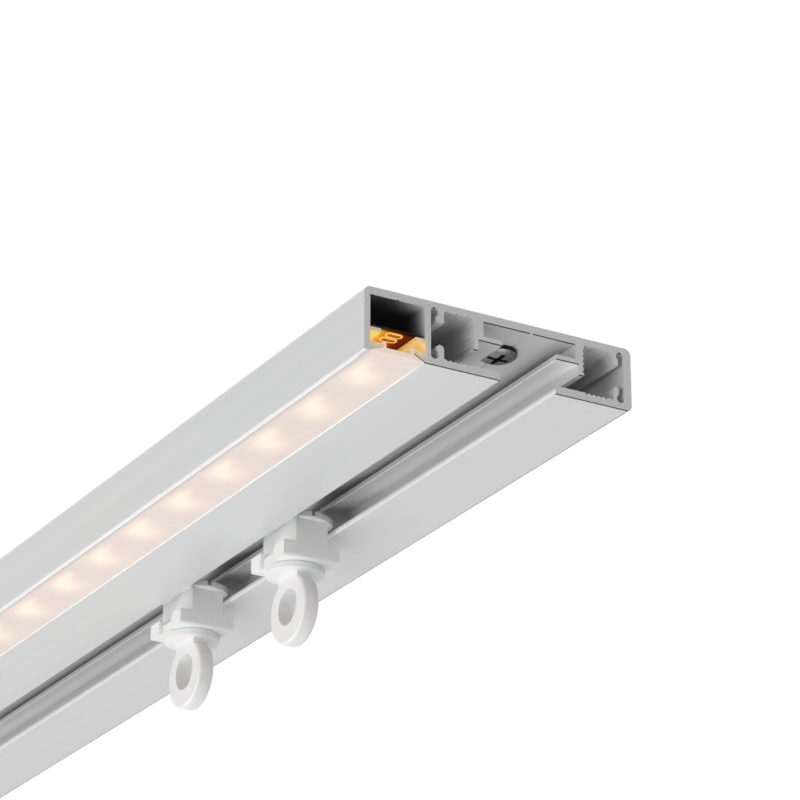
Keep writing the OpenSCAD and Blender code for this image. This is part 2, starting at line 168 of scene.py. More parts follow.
# How far light comes back inside the channel, and the shares of open space that it spans
OPEN_REACH = 14.0 * MM
OPEN_SAMPLES = 48
CEILING_OPEN = (0.14, 0.21)
FOOT_OPEN = (0.11, 0.25)

# Eased edges, the near-black band painted beside the cuts, and the turn of the outer left side, which is
# painted a shade darker
CUT_EASE = 0.08 * MM
CUT_BAND_WIDTH = 0.42 * MM
SIDE_TURN = 0.18 * MM
INNER_EASE = 0.1 * MM
NARROW_FACE = 0.45 * MM
MOULDED_EASE = 0.22 * MM
DISC_EASE = 0.12 * MM

# Corners nearer than this are joined
SAME_PLACE = 0.002 * MM

# Angles in degrees: faces that count as one, edges that are eased, rounds that are shaded smoothly
FLAT_ANGLE = 1.0
SHARP_ANGLE = 30.0
LONG_EDGE_ANGLE = 40.0
ROUND_ANGLE = 15.0
PAD_ROUND_ANGLE = 20.0
SCREW_ROUND_ANGLE = 25.0

# The webs at the foot of the discs' slits
SLIT_WIDTH = 0.85 * MM
SLIT_LENGTH = 2.0 * MM
SLIT_INSET = 0.03 * MM
SLIT_SLOPE = 0.33 * MM
SLIT_WEB = 0.6 * MM

# The camera, at the photograph's angle
CAMERA_PLACE = (-0.30399161, -0.63788949, -0.26402458)
CAMERA_LENS = 161.379
SENSOR_WIDTH = 36.0
CAMERA_PITCH = 23.369
CAMERA_YAW = 30.169

# The room: a ceiling at height 0, so the floor lies a storey below
FLOOR_DROP = 2.4
FLOOR_SIZE = 120.0
FLOOR_LIFT = 0.7

# The lamps: name, place, size and watts, all turned to one point of the track
LIT_POINT = (0.0, 0.0, -0.01)
LAMPS = (("key_from_below", (-1.0, 1.0, -1.9), 1.6, 26.0),
         ("side_from_near_left", (-2.1, -0.75, -0.8), 1.2, 23.0),
         ("fill_from_near_below", (0.2, -1.1, -1.66), 1.4, 8.0),
         ("top_light", (-0.4, 0.2, 2.0), 1.6, 22.0))

WHITE = (1.0, 1.0, 1.0, 1.0)
BLACK = (0.0, 0.0, 0.0, 1.0)
FILL_LEVEL = 0.25


def grey(value):
    """A neutral colour of one linear value."""
    return (value, value, value, 1.0)


# Node helpers

class Finish:
    """A material and short ways to add nodes to it."""

    def __init__(self, name):
        self.material = bpy.data.materials.new(name)
        self.material.use_nodes = True
        self.tree = self.material.node_tree
        self.shader = self.tree.nodes["Principled BSDF"]
        self.points = None
        self.axes = None

    def set(self, **sockets):
        """Sets plain values on the shader: set(Roughness=0.4)."""
        for name, value in sockets.items():
            self.shader.inputs[name.replace("_", " ")].default_value = value
        return self

    def node(self, kind, **values):
        """Adds a node. Values that name a socket are set there, the others are properties."""
        made = self.tree.nodes.new(kind)
        for name, value in values.items():
            if hasattr(made, name):
                setattr(made, name, value)
            else:
                made.inputs[name.replace("_", " ")].default_value = value
        return made

    def link(self, output, target):
        """Joins an output to a socket."""
        self.tree.links.new(output, target)

    def object_points(self):
        """The Object coordinates of the surface."""
        if self.points is None:
            self.points = self.tree.nodes.new("ShaderNodeTexCoord").outputs["Object"]
        return self.points

    def axis(self, letter):
        """The X, Y or Z of the Object coordinates."""
        if self.axes is None:
            self.axes = self.tree.nodes.new("ShaderNodeSeparateXYZ")
            self.link(self.object_points(), self.axes.inputs["Vector"])
        return self.axes.outputs[letter]

    def stretched(self, scale):
        """Object coordinates, scaled along each axis."""
        mapping = self.node("ShaderNodeMapping", vector_type="POINT")
        mapping.inputs["Scale"].default_value = scale
        self.link(self.object_points(), mapping.inputs["Vector"])
        return mapping.outputs["Vector"]

    def noise(self, scale, stretch=(1, 1, 1), detail=3.0, roughness=0.5, distortion=0.0):
        """A noise from 0 to 1, with its features in the given number per metre."""
        made = self.node("ShaderNodeTexNoise", Scale=scale, Detail=detail,
                         Roughness=roughness, Distortion=distortion)
        self.link(self.stretched(stretch), made.inputs["Vector"])
        return made.outputs["Fac"]

    def ramp(self, factor, *stops):
        """Colours by position: ramp(factor, (0.2, colour), (0.8, colour))."""
        made = self.node("ShaderNodeValToRGB")
        elements = made.color_ramp.elements
        elements[0].position, elements[0].color = stops[0]
        elements[1].position, elements[1].color = stops[-1]
        for position, colour in stops[1:-1]:
            elements.new(position).color = colour
        self.link(factor, made.inputs["Fac"])
        return made.outputs["Color"]

    def span(self, value, low, high, to_low=0.0, to_high=1.0):
        """Maps a value from one span to another."""
        made = self.node("ShaderNodeMapRange", clamp=True)
        for name, number in (("From Min", low), ("From Max", high),
                             ("To Min", to_low), ("To Max", to_high)):
            made.inputs[name].default_value = number
        self.link(value, made.inputs["Value"])
        return made.outputs["Result"]

    def math(self, operation, first, second=None):
        """A calculation with one or two values, each of which may be a number."""
        made = self.node("ShaderNodeMath", operation=operation)
        for socket, value in zip(made.inputs, (first, second)):
            if value is None:
                continue
            if isinstance(value, (int, float)):
                socket.default_value = value
            else:
                self.link(value, socket)
        return made.outputs["Value"]

    def mix(self, factor, first, second, blend="MIX"):
        """Two colours mixed by a factor."""
        made = self.node("ShaderNodeMix", data_type="RGBA", blend_type=blend)
        for name, value in (("Factor", factor), ("A", first), ("B", second)):
            socket = next(s for s in made.inputs if s.name == name and s.enabled)
            if isinstance(value, (int, float, tuple)):
                socket.default_value = value
            else:
                self.link(value, socket)
        return next(s for s in made.outputs if s.enabled)

    def colour(self, output):
        """Gives the surface its colour."""
        self.link(output, self.shader.inputs["Base Color"])

    def shine(self, output, strength):
        """Lets the surface give light of its own."""
        self.link(output, self.shader.inputs["Emission Color"])
        self.shader.inputs["Emission Strength"].default_value = strength

    def bump(self, height, distance, strength=1.0):
        """Fine relief, in metres."""
        made = self.node("ShaderNodeBump", Strength=strength, Distance=distance)
        self.link(height, made.inputs["Height"])
        self.link(made.outputs["Normal"], self.shader.inputs["Normal"])


# Finishes

def fine_lines(finish):
    """The hairlines that the die leaves along the track, from 0 to 1."""
    return finish.noise(1.0, stretch=(4200, 14, 4200), detail=2.0)


def die_lines(finish, fine):
    """The hairlines together with broader streaks, from 0 to 1."""
    broad = finish.noise(1.0, stretch=(420, 5, 420), detail=2.0)
    return finish.math("ADD", finish.math("MULTIPLY", fine, 0.45),
                       finish.math("MULTIPLY", broad, 0.55))


def anodised_aluminium():
    """Satin silver skin: fine lines along the track in its gloss, faint ones in its colour, and its outer
    left side painted a shade darker.
    """
    finish = Finish("anodised_aluminium").set(Metallic=0.1, IOR=1.6, Coat_Weight=0.4,
                                              Coat_Roughness=0.12)
    fine = fine_lines(finish)
    lines = die_lines(finish, fine)
    cloudy = finish.noise(22.0, detail=2.0)
    tone = finish.ramp(lines, (0.3, grey(0.655)), (0.7, grey(0.695)))
    tint = finish.ramp(cloudy, (0.3, (0.985, 0.99, 1.0, 1.0)), (0.7, (1.0, 0.995, 0.985, 1.0)))
    skin = finish.mix(1.0, tone, tint, blend="MULTIPLY")
    # Painted shade: the outer left side a shade darker, over the turn beside it
    outer_side = finish.span(finish.axis("X"), LEFT_FACE, LEFT_FACE + SIDE_TURN, 0.97, 1.0)
    finish.colour(finish.mix(1.0, skin, outer_side, blend="MULTIPLY"))
    finish.link(finish.span(lines, 0.3, 0.7, 0.40, 0.33), finish.shader.inputs["Roughness"])
    finish.bump(fine, 0.006 * MM, 0.4)
    return finish.material


def sawn_aluminium():
    """The bare end face: grain left by the saw, with the strip's light beside the bay."""
    finish = Finish("sawn_aluminium").set(Metallic=0.3, IOR=1.6)
    grain = finish.noise(1.0, stretch=(900, 900, 6500), detail=4.0, roughness=0.65)
    specks = finish.noise(5200.0, detail=2.0)
    mixed = finish.math("ADD", finish.math("MULTIPLY", grain, 0.6),
                        finish.math("MULTIPLY", specks, 0.4))
    bare = finish.ramp(mixed, (0.3, grey(0.52)), (0.52, grey(0.67)), (0.75, grey(0.82)))
    finish.link(finish.span(mixed, 0.3, 0.7, 0.55, 0.4), finish.shader.inputs["Roughness"])
    across = finish.math("SUBTRACT", finish.axis("X"), LEFT_FACE)
    above = finish.math("SUBTRACT", finish.axis("Z"), UNDERSIDE)
    left = lobe(finish, across, above, *LEFT_LIGHT)
    right = lobe(finish, across, above, *RIGHT_LIGHT)
    lit = finish.mix(left, bare, (0.64, 0.44, 0.13, 1.0))
    finish.colour(finish.mix(right, lit, (0.66, 0.48, 0.22, 1.0)))
    glow = finish.mix(left, BLACK, (0.95, 0.56, 0.15, 1.0))
    finish.shine(finish.mix(right, glow, (1.0, 0.62, 0.20, 1.0)), 0.5)
    finish.bump(mixed, 0.03 * MM, 0.6)
    return finish.material


def painted_edge_highlight():
    """The eased outer edges, with a painted highlight where they catch the light: a lighter colour and a
    faint glow, strongest beside the slot and dimming with height.
    """
    finish = Finish("painted_edge_highlight").set(Metallic=0.2, IOR=1.6)
    fine = fine_lines(finish)
    lines = die_lines(finish, fine)
    by_slot = finish.span(finish.axis("X"), LEFT_FACE + BAY_LEFT * MM, LEFT_FACE + BAY_RIGHT * MM)
    # Painted highlight: lighter beside the slot than beside the bay
    beside_bay = finish.ramp(lines, (0.3, grey(0.82)), (0.7, grey(0.90)))
    beside_slot = finish.ramp(lines, (0.3, grey(0.93)), (0.7, grey(1.0)))
    low = finish.span(finish.axis("Z"), UNDERSIDE + EDGE_DIMS[0], UNDERSIDE + EDGE_DIMS[1],
                      1.0, 0.56)
    bright = finish.mix(by_slot, beside_bay, beside_slot)
    finish.colour(finish.mix(1.0, bright, low, blend="MULTIPLY"))
    finish.link(finish.span(fine, 0.3, 0.7, 0.36, 0.26), finish.shader.inputs["Roughness"])
    glow = finish.mix(by_slot, grey(0.39), beside_slot)
    finish.shine(finish.mix(1.0, glow, low, blend="MULTIPLY"), 0.25)
    return finish.material


def dark_cut_band():
    """A near-black band painted on the lower edges of the cuts, with a fine grain."""
    finish = Finish("dark_cut_band").set(Metallic=0.3, Roughness=0.8)
    grain = finish.noise(2400.0, detail=3.0)
    # Painted near black along the cuts' lower edges
    finish.colour(finish.ramp(grain, (0.3, grey(0.02)), (0.7, grey(0.07))))
    finish.shader.inputs["Specular IOR Level"].default_value = 0.1
    return finish.material


def depth_inside(finish):
    """How far a point lies inside the track from its nearer end, in metres."""
    return finish.math("SUBTRACT", FAR_END, finish.math("ABSOLUTE", finish.axis("Y")))


def openness(finish, shares):
    """How open the space before a point is, from 0 beside a glider to 1 in the free channel."""
    around = finish.node("ShaderNodeAmbientOcclusion", samples=OPEN_SAMPLES, Distance=OPEN_REACH)
    return finish.span(around.outputs["AO"], *shares)


def chamber_painted_shade(name, left_share):
    """The wire chamber's unpolished inside, painted near black as shade, with painted light at its mouths,
    strongest towards the partition, and a faint glow of its own.
    """
    finish = Finish(name).set(Metallic=0.3, Roughness=0.55)
    lines = die_lines(finish, fine_lines(finish))
    near_mouth = finish.span(depth_inside(finish), 0.0, CHAMBER_MOUTH, 1.0, 0.0)
    near_partition = finish.span(finish.axis("X"), BAY_MID, LEFT_FACE + BAY_RIGHT * MM,
                                 left_share, 1.0)
    # Painted light at the chamber's mouths, strongest towards the partition
    mouth_light = finish.math("MULTIPLY", finish.math("POWER", near_mouth, 2.2), near_partition)
    # Painted shade: near black further in
    painted_dark = finish.ramp(lines, (0.3, grey(0.012)), (0.7, grey(0.03)))
    finish.colour(finish.mix(mouth_light, painted_dark, grey(0.85)))
    finish.shine(painted_dark, 0.12)
    finish.shader.inputs["Specular IOR Level"].default_value = 0.2
    return finish.material


def deep_skin():
    """The channel's ceiling, in a darker tone painted as shade, with a painted glow for the light that
    comes back from the flanges below, less where the space before it is closed.
    """
    finish = Finish("deep_skin").set(Metallic=0.15, IOR=1.6, Roughness=0.45)
    fine = fine_lines(finish)
    lines = die_lines(finish, fine)
    # A darker tone than the skin, painted as the shade inside the channel
    base_tone = finish.ramp(lines, (0.3, grey(0.40)), (0.7, grey(0.45)))
    finish.colour(base_tone)
    # Painted glow, weaker at the mouths and beside the gliders
    from_mouth = finish.span(depth_inside(finish), 0.0, CHANNEL_MOUTH, 0.7, 1.0)
    spread = finish.math("MULTIPLY", from_mouth, openness(finish, CEILING_OPEN))
    finish.shine(finish.mix(1.0, base_tone, spread, blend="MULTIPLY"), 0.33)
    finish.bump(fine, 0.006 * MM, 0.4)
    return finish.material


def pocket_skin():
    """The joiner pockets' inside, dull, with painted shade that makes it darker away from the ends."""
    finish = Finish("pocket_skin").set(Metallic=0.15, IOR=1.6, Roughness=0.5)
    fine = fine_lines(finish)
    lines = die_lines(finish, fine)
    # Painted shade: darker away from the ends
    inward = finish.span(depth_inside(finish), 0.0, POCKET_MOUTH)
    base_tone = finish.ramp(lines, (0.3, grey(0.68)), (0.7, grey(0.76)))
    shaded_tone = finish.ramp(lines, (0.3, grey(0.56)), (0.7, grey(0.74)))
    finish.colour(finish.mix(inward, base_tone, shaded_tone))
    finish.shader.inputs["Specular IOR Level"].default_value = 0.25
    finish.bump(fine, 0.006 * MM, 0.4)
    return finish.material


def foot_glow_skin():
    """The right foot's underside, streaked along the die lines, with a painted glow strongest beside its
    leg and at its tip, and less where the space before it is closed.
    """
    finish = Finish("foot_glow_skin").set(Metallic=0.2, IOR=1.6)
    fine = fine_lines(finish)
    lines = die_lines(finish, fine)
    bright = finish.ramp(lines, (0.3, grey(0.56)), (0.7, grey(0.64)))
    finish.colour(bright)
    # Painted glow, strongest beside the leg and at the tip
    to_leg = finish.span(finish.axis("X"), LEFT_FACE + RIGHT_FOOT[0] * MM,
                         LEFT_FACE + RIGHT_LEG * MM, 0.6, 2.3)
    at_tip = finish.span(finish.axis("X"), LEFT_FACE + RIGHT_FOOT[0] * MM,
                         LEFT_FACE + TIP_END * MM, 2.2, 0.0)
    spread = finish.math("MULTIPLY", finish.math("ADD", to_leg, at_tip),
                         openness(finish, FOOT_OPEN))
    finish.shine(finish.mix(1.0, bright, spread, blend="MULTIPLY"), 0.2)
    finish.link(finish.span(lines, 0.3, 0.7, 0.40, 0.32), finish.shader.inputs["Roughness"])
    finish.bump(fine, 0.006 * MM, 0.4)
    return finish.material


def dark_painted_skin(name, light):
    """Matte aluminium painted darker: painted shade in the drill guide, and a painted dark reflection on
    the turn of the right corner.
    """
    finish = Finish(name).set(Roughness=0.7)
    lines = die_lines(finish, fine_lines(finish))
    finish.colour(finish.ramp(lines, (0.3, grey(light * 0.85)), (0.7, grey(light))))
    finish.shader.inputs["Specular IOR Level"].default_value = 0.0
    return finish.material


def bay_skin():
    """The inside of the light bay, yellow and cream in the light of the LEDs."""
    finish = Finish("bay_skin").set(Metallic=0.2, Roughness=0.45)
    lines = die_lines(finish, fine_lines(finish))
    finish.colour(finish.ramp(lines, (0.3, (0.50, 0.39, 0.20, 1.0)), (0.7, (0.58, 0.46, 0.25, 1.0))))
    across_bay = finish.span(finish.axis("X"), LEFT_FACE + BAY_LEFT * MM,
                             LEFT_FACE + BAY_RIGHT * MM)
    blotches = finish.noise(700.0, detail=3.0)
    glow = finish.ramp(across_bay, (0.0, (0.62, 0.60, 0.24, 1.0)), (0.25, (0.74, 0.49, 0.08, 1.0)),
                       (0.8, (0.56, 0.37, 0.10, 1.0)), (1.0, (0.54, 0.38, 0.14, 1.0)))
    patchy = finish.ramp(blotches, (0.3, grey(0.7)), (0.7, grey(1.0)))
    finish.shine(finish.mix(1.0, glow, patchy, blend="MULTIPLY"), 0.85)
    return finish.material


def lip_skin():
    """The lips beside the diffuser's edges, white with the light that leaks past it."""
    finish = Finish("lip_skin").set(Metallic=0.2, Roughness=0.45)
    lines = die_lines(finish, fine_lines(finish))
    finish.colour(finish.ramp(lines, (0.3, grey(0.76)), (0.7, grey(0.82))))
    leak = finish.ramp(lines, (0.3, (0.80, 0.75, 0.70, 1.0)), (0.7, (0.9, 0.86, 0.82, 1.0)))
    inward = finish.span(depth_inside(finish), *LIP_MOUTH)
    finish.shine(finish.mix(1.0, leak, inward, blend="MULTIPLY"), 0.72)
    return finish.material


def acetal(name, light, roughness):
    """White moulded plastic with a faint flow pattern and a fine orange-peel skin."""
    finish = Finish(name).set(IOR=1.48, Subsurface_Weight=0.12, Subsurface_Scale=1.5 * MM)
    flow = finish.noise(260.0, stretch=(1, 1, 2.2), detail=3.0, distortion=0.6)
    finish.colour(finish.ramp(flow, (0.3, grey(light * 0.975)), (0.7, grey(light))))
    skin = finish.noise(3200.0, detail=2.0)
    finish.link(finish.span(skin, 0.3, 0.7, roughness - 0.04, roughness + 0.06),
                finish.shader.inputs["Roughness"])
    finish.bump(skin, 0.012 * MM, 0.4)
    return finish.material


def lit_opal():
    """The frosted cover: warm light spreads from each LED, with a streak towards the near end."""
    finish = Finish("lit_opal").set(Roughness=0.5, IOR=1.49)
    across = finish.math("SUBTRACT", finish.axis("X"), BAY_MID)
    from_first = finish.math("SUBTRACT", finish.axis("Y"), NEAR_END + FIRST_LED)
    shifted = finish.math("ADD", from_first, LED_PITCH / 2)
    phase = finish.math("FLOORED_MODULO", shifted, LED_PITCH)
    along = finish.math("SUBTRACT", phase, LED_PITCH / 2)
    glow = 0.0
    for middle, size, strength in (CORE, STREAK, TRAIL, HAZE):
        hill = lobe(finish, across, along, middle, size)
        glow = finish.math("ADD", glow, finish.math("MULTIPLY", hill, strength))
    frost = finish.noise(900.0, detail=3.0)
    glow = finish.math("MULTIPLY", glow, finish.span(frost, 0.2, 0.8, 0.94, 1.04))
    warm = finish.ramp(glow, (0.0, (0.225, 0.15, 0.118, 1.0)), (0.5, (0.345, 0.24, 0.168, 1.0)),
                       (1.0, (0.50, 0.37, 0.24, 1.0)))
    seam = finish.span(finish.axis("X"), COVER_LEFT + SEAM_WIDTH,
                       COVER_LEFT + SEAM_WIDTH + SEAM_FADE)
    warm = finish.mix(seam, (0.06, 0.05, 0.06, 1.0), warm)
    at_mouth = finish.span(depth_inside(finish), 0.0, COVER_MOUTH, 0.9, 0.0)
    above = finish.span(finish.axis("Z"), UNDERSIDE + COVER_TURNS[0], UNDERSIDE + COVER_TURNS[1])
    end_glow = finish.mix(above, (0.64, 0.48, 0.35, 1.0), (0.62, 0.36, 0.12, 1.0))
    finish.shine(finish.mix(at_mouth, warm, end_glow), 1.0)
    cloudy = finish.noise(500.0, detail=2.0)
    finish.colour(finish.ramp(cloudy, (0.3, (0.60, 0.575, 0.555, 1.0)),
                              (0.7, (0.63, 0.605, 0.58, 1.0))))
    finish.bump(frost, 0.01 * MM, 0.4)
    return finish.material


def lobe(finish, across, along, middle, size):
    """A soft hill of light over two coordinates, its middle and half widths in millimetres."""
    x = finish.math("MULTIPLY", finish.math("SUBTRACT", across, middle[0] * MM), 1 / (size[0] * MM))
    y = finish.math("MULTIPLY", finish.math("SUBTRACT", along, middle[1] * MM), 1 / (size[1] * MM))
    square = finish.math("ADD", finish.math("MULTIPLY", x, x), finish.math("MULTIPLY", y, y))
    return finish.math("EXPONENT", finish.math("MULTIPLY", square, -1.0))


def strip_amber():
    """The flexible board's underside, amber from its own lights, with copper runs beneath."""
    finish = Finish("strip_amber").set(Roughness=0.5, Specular_IOR_Level=0.04)
    runs = finish.noise(1.0, stretch=(1500, 180, 1500), detail=3.0)
    blotches = finish.noise(900.0, detail=3.0)
    mixed = finish.math("ADD", finish.math("MULTIPLY", runs, 0.5),
                        finish.math("MULTIPLY", blotches, 0.5))
    warmth = finish.span(finish.axis("X"), BAY_MID, BAY_MID + DIM_SIDE, 1.15, 0.2)
    lit = finish.math("MULTIPLY", mixed, warmth)
    # Painted shade at the strip's cut end, fading in over its first millimetre
    inward = finish.span(depth_inside(finish), *STRIP_MOUTH, 0.05, 1.0)
    amber = finish.ramp(lit, (0.0, (0.04, 0.002, 0.0, 1.0)), (0.5, (0.18, 0.014, 0.001, 1.0)),
                        (0.7, (0.30, 0.05, 0.003, 1.0)))
    finish.colour(finish.mix(1.0, amber, inward, blend="MULTIPLY"))
    glow = finish.ramp(lit,
                       (0.0, (0.02, 0.001, 0.0, 1.0)), (0.2, (0.12, 0.008, 0.001, 1.0)),
                       (0.45, (0.58, 0.06, 0.001, 1.0)), (0.65, (0.72, 0.14, 0.005, 1.0)))
    beside_lamp = finish.span(finish.axis("X"), STRIP_LOW.x + LAMP_SIDE[0],
                              STRIP_LOW.x + LAMP_SIDE[1], 1.0, 0.0)
    yellow = finish.ramp(blotches, (0.3, (0.38, 0.40, 0.03, 1.0)), (0.7, (0.60, 0.72, 0.10, 1.0)))
    light = finish.mix(beside_lamp, glow, yellow)
    finish.shine(finish.mix(1.0, light, inward, blend="MULTIPLY"), 1.0)
    finish.bump(mixed, 0.02 * MM, 0.5)
    return finish.material


def pad_rim():
    """Solder round a pad, bright yellow in the light of the strip."""
    finish = Finish("pad_rim").set(Metallic=0.6)
    crust = finish.noise(4200.0, detail=3.0)
    finish.colour(finish.ramp(crust, (0.3, (0.85, 0.50, 0.12, 1.0)), (0.7, (1.0, 0.72, 0.25, 1.0))))
    glow = finish.ramp(crust, (0.3, (0.80, 0.36, 0.05, 1.0)), (0.7, (1.0, 0.58, 0.14, 1.0)))
    finish.shine(glow, 0.6)
    finish.link(finish.span(crust, 0.3, 0.7, 0.45, 0.25), finish.shader.inputs["Roughness"])
    finish.bump(crust, 0.02 * MM, 0.6)
    return finish.material


def pad_copper():
    """The dull middle of a pad, with a painted glow in the light of the strip."""
    finish = Finish("pad_copper").set(Metallic=0.5)
    stain = finish.noise(2600.0, detail=3.0)
    finish.colour(finish.ramp(stain, (0.3, (0.20, 0.10, 0.012, 1.0)), (0.7, (0.45, 0.24, 0.03, 1.0))))
    glow = finish.ramp(stain, (0.3, (0.12, 0.05, 0.003, 1.0)), (0.7, (0.28, 0.12, 0.01, 1.0)))
    finish.shine(glow, 0.6)
    finish.link(finish.span(stain, 0.3, 0.7, 0.6, 0.4), finish.shader.inputs["Roughness"])
    return finish.material


def adhesive_tape():
    """The tape on the strip's back: dark amber adhesive with faint fibres."""
    finish = Finish("adhesive_tape").set(Roughness=0.6, Specular_IOR_Level=0.1)
    fibres = finish.noise(1.0, stretch=(2400, 500, 2400), detail=4.0, distortion=0.4)
    finish.colour(finish.ramp(fibres, (0.3, (0.030, 0.010, 0.004, 1.0)),
                              (0.7, (0.075, 0.028, 0.010, 1.0))))
    finish.bump(fibres, 0.02 * MM, 0.5)
    return finish.material


def lamp_housing():
    """The LED's white moulded housing."""
    finish = Finish("lamp_housing").set(Roughness=0.4)
    skin = finish.noise(5200.0, detail=2.0)
    finish.colour(finish.ramp(skin, (0.3, (0.76, 0.73, 0.66, 1.0)), (0.7, (0.83, 0.81, 0.75, 1.0))))
    finish.bump(skin, 0.01 * MM, 0.4)
    return finish.material


def lit_phosphor():
    """The glowing resin window of an LED, brightest in its grains."""
    finish = Finish("lit_phosphor").set(Roughness=0.35)
    grains = finish.noise(6500.0, detail=2.0)
    finish.colour(finish.ramp(grains, (0.3, (0.85, 0.58, 0.10, 1.0)), (0.7, (0.95, 0.74, 0.22, 1.0))))
    glow = finish.ramp(grains, (0.3, (1.0, 0.66, 0.26, 1.0)), (0.7, (1.0, 0.76, 0.38, 1.0)))
    finish.shine(glow, 9.0)
    return finish.material


def resistor_glaze():
    """Black glaze on a resistor's top."""
    finish = Finish("resistor_glaze").set(Roughness=0.3)
    specks = finish.noise(5200.0, detail=3.0)
    finish.colour(finish.ramp(specks, (0.35, grey(0.006)), (0.75, grey(0.03))))
    finish.bump(specks, 0.01 * MM, 0.5)
    return finish.material


def tinned_ends():
    """Tin on the ends of the resistors and on the LED leads."""
    finish = Finish("tinned_ends").set(Metallic=0.9)
    crust = finish.noise(5200.0, detail=3.0)
    finish.colour(finish.ramp(crust, (0.3, (0.50, 0.48, 0.44, 1.0)), (0.7, (0.74, 0.72, 0.68, 1.0))))
    finish.link(finish.span(crust, 0.3, 0.7, 0.5, 0.3), finish.shader.inputs["Roughness"])
    return finish.material


def zinc_steel():
    """Zinc plated screw steel, with a mottled grey skin."""
    finish = Finish("zinc_steel").set(Metallic=0.75)
    mottle = finish.noise(1900.0, detail=4.0, roughness=0.6)
    finish.colour(finish.ramp(mottle, (0.3, (0.15, 0.15, 0.16, 1.0)), (0.7, (0.34, 0.34, 0.34, 1.0))))
    finish.link(finish.span(mottle, 0.3, 0.7, 0.42, 0.26), finish.shader.inputs["Roughness"])
    finish.bump(mottle, 0.015 * MM, 0.5)
    return finish.material


def dark_flank():
    """The rim of a screw's head, painted near black for the shade and dark reflection on it."""
    finish = Finish("dark_flank").set(Metallic=0.5, Roughness=0.5)
    dark_mottle = finish.noise(2600.0, detail=3.0)
    # Painted near black as shade
    finish.colour(finish.ramp(dark_mottle, (0.3, grey(0.006)), (0.75, grey(0.03))))
    finish.shader.inputs["Specular IOR Level"].default_value = 0.2
    return finish.material


def recess_black():
    """The dark cross of a screw, painted near black as the shade in its recess, mottled."""
    finish = Finish("recess_black").set(Metallic=0.4, Roughness=0.55)
    dark_mottle = finish.noise(2600.0, detail=3.0)
    # Painted near black as the recess's shade
    finish.colour(finish.ramp(dark_mottle, (0.3, grey(0.008)), (0.75, grey(0.05))))
    return finish.material


# Pieces

def merged_copy(node):
    """A bmesh of a CAD node, its corners joined and its flat faces made whole."""
    mesh = bmesh.new()
    mesh.from_mesh(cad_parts[node].data)
    bmesh.ops.remove_doubles(mesh, verts=mesh.verts, dist=SAME_PLACE)
    bmesh.ops.dissolve_limit(mesh, angle_limit=math.radians(FLAT_ANGLE), verts=mesh.verts,
                             use_dissolve_boundaries=False, edges=mesh.edges)
    return mesh


def soften(mesh, edges, width, segments=2):
    """Rounds the given edges and returns the new faces."""
    made = bmesh.ops.bevel(mesh, geom=edges, offset=width, offset_type="OFFSET",
                           segments=segments, profile=0.5, affect="EDGES", clamp_overlap=True,
                           material=-1)
    return made["faces"]


def sharp_edges(mesh, angle=SHARP_ANGLE):
    """Edges where two faces meet at more than an angle."""
    limit = math.radians(angle)
    return [e for e in mesh.edges if len(e.link_faces) == 2 and e.calc_face_angle(0.0) > limit]


def smooth_rounds(mesh, angle=ROUND_ANGLE):
    """Shades round surfaces smoothly and keeps every corner crisp."""
    limit = math.radians(angle)
    for face in mesh.faces:
        face.smooth = True
    for edge in mesh.edges:
        edge.smooth = edge.calc_face_angle(math.pi) < limit


def extruded(mesh, faces, move):
    """Extrudes faces by a vector and returns the faces at the far side."""
    made = bmesh.ops.extrude_face_region(mesh, geom=faces)
    verts = [v for v in made["geom"] if isinstance(v, bmesh.types.BMVert)]
    bmesh.ops.translate(mesh, verts=verts, vec=move)
    return [f for f in made["geom"] if isinstance(f, bmesh.types.BMFace)]


def finished(mesh, name, body, nodes, slot, *materials):
    """Makes a piece of a bmesh, rides it on its body and puts it in place of CAD nodes."""
    data = bpy.data.meshes.new(name)
    mesh.to_mesh(data)
    mesh.free()
    for material in materials:
        data.materials.append(material)
    piece = bpy.data.objects.new(name, data)
    bpy.context.scene.collection.objects.link(piece)
    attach(piece, body)
    if nodes:
        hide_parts(*nodes)


def repaint(node, material):
    """Gives a CAD node another material."""
    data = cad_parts[node].data
    data.materials.clear()
    data.materials.append(material)


(SKIN, SAWN, EDGE_HIGHLIGHT, CUT_BAND, CHAMBER, BAY, LIP, DEEP, POCKET, FOOT_GLOW, CORNER, GROOVE,
 NOTCH) = range(13)
CUT_BANDED = (SKIN, SAWN, DEEP, FOOT_GLOW)


def section_place(point):
    """A point's place in the section: millimetres from the left face and above the underside."""
    return (point.x - LEFT_FACE) / MM, (point.z - UNDERSIDE) / MM


def skin_of(face):
    """Which of the profile's finishes a face has, by its place in the section."""
    across, above = section_place(face.calc_center_median())
    if abs(face.normal.y) > SQUARE_ON:
        return SAWN
    if WALL_FOOT < across < BAY_RIGHT + SECTION_HAIR and above > SECTION_HAIR:
        return bay_skin_of(above)
    # The wall's foot and the slot's right edge carry the painted edge highlight
    if above < SECTION_HAIR and across < WALL_FOOT:
        return EDGE_HIGHLIGHT
    if abs(across - SLOT_RIGHT) < SECTION_HAIR and above < FLANGE_TOP:
        return EDGE_HIGHLIGHT
    return channel_skin_of(face, across, above)


def bay_skin_of(above):
    """The finish inside the light bay, the wire chamber and its ceiling's notch, by height."""
    if above < LIP_TOP - SECTION_HAIR:
        return LIP
    if above < LEDGE_TOP - SECTION_HAIR:
        return BAY
    return CHAMBER if above < CHANNEL_TOP + SECTION_HAIR else NOTCH


